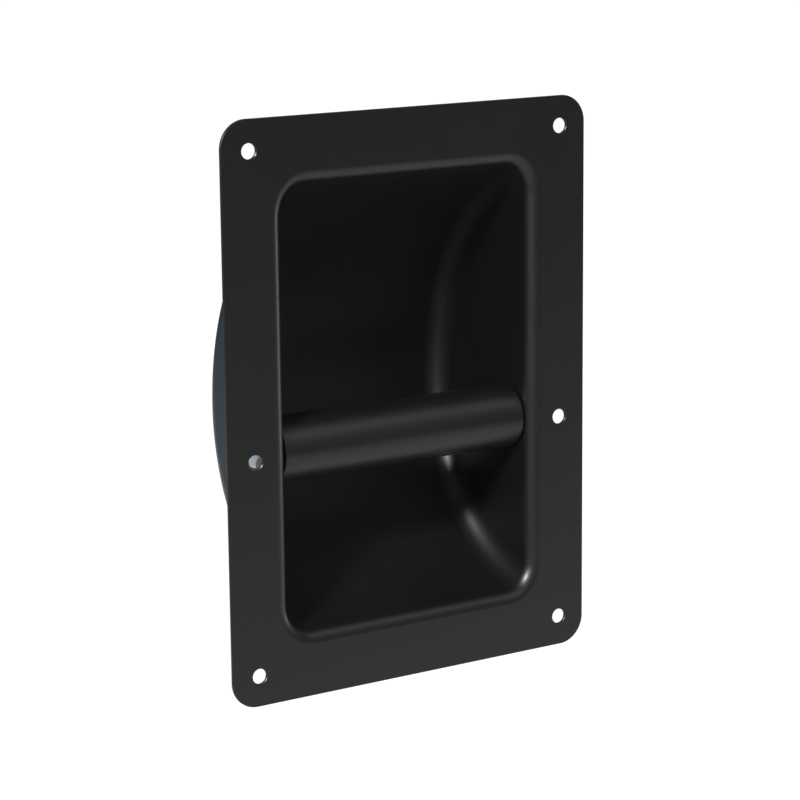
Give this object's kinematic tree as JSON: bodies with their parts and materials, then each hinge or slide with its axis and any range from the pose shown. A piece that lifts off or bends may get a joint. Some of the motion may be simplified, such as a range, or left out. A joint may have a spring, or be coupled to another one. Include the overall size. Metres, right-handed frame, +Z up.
{
  "type": "recessed bar handle",
  "caption": "Recessed carrying handle: a drawn black steel dish with a flange to screw down and a round grip bar across its pocket.",
  "frame": {"origin": "centre of the four corner holes, in the plane of the flange's rear face that lies on the panel", "axes": "+Z up the long side, +Y into the cabinet, so the open front faces -Y; +X to the right seen from the front"},
  "size_m": [0.152, 0.0617, 0.207],
  "materials": {
    "dish_coat": "satin black powder coat, fine texture",
    "grip_coat": "satin black powder coat, smoother than the dish",
    "plug_nylon": "moulded black nylon",
    "zinc": "bright zinc plate",
    "insert_nylon": "natural nylon"
  },
  "bodies": {
    "shell": {"dish": "dish_coat", "through_bolt": "zinc", "washer_left": "zinc", "washer_right": "zinc", "lock_nut": "zinc", "nut_insert": "insert_nylon"},
    "grip": {"grip_tube": "grip_coat", "plug_left": "plug_nylon", "plug_right": "plug_nylon"}
  },
  "joints": [
    {"name": "grip_turn", "type": "hinge", "parent": "shell", "child": "grip", "pos_m": [0, 0.0133, -0.0155], "axis": [1, 0, 0], "continuous": true}
  ]
}
